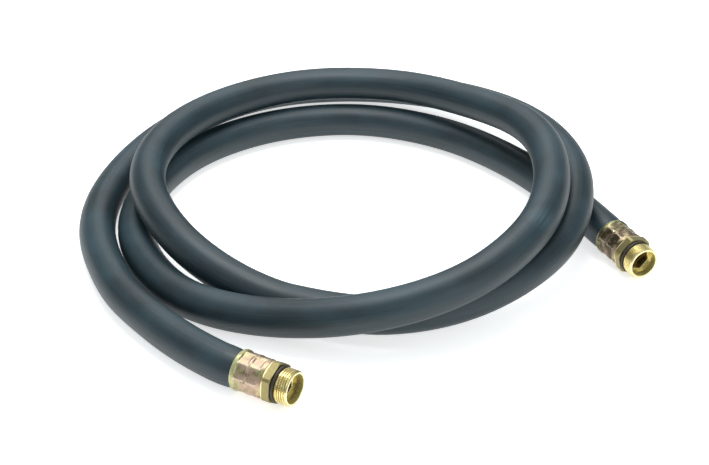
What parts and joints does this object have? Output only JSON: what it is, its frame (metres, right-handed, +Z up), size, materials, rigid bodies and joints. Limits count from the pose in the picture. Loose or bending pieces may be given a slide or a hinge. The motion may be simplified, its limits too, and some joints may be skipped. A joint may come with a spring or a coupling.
{
  "type": "fuel dispensing hose",
  "caption": "Rubber fuel dispensing hose in loose loops, with a crimped ferrule and a brass male-threaded nipple on each end.",
  "frame": {"origin": "on the floor, under the middle of the coiled hose's box", "axes": "+Z up; +Y towards the back of the coil as the picture shows it, along its longest side; +X towards the right"},
  "size_m": [0.5874, 0.6308, 0.1027],
  "materials": {
    "hose_rubber": "black rubber with a slate sheen and faint lengthwise streaks",
    "plated_steel": "yellow-passivated zinc plate with pink and green tints",
    "brass": "turned brass, dull on the hexagon's flats and bright on the thread",
    "seal_rubber": "plain black sealing rubber"
  },
  "bodies": {
    "root": {"hose": "hose_rubber", "ferrule_a": "plated_steel", "ferrule_b": "plated_steel", "nipple_a": "brass", "nipple_b": "brass", "seal_a": "seal_rubber", "seal_b": "seal_rubber"}
  },
  "joints": []
}
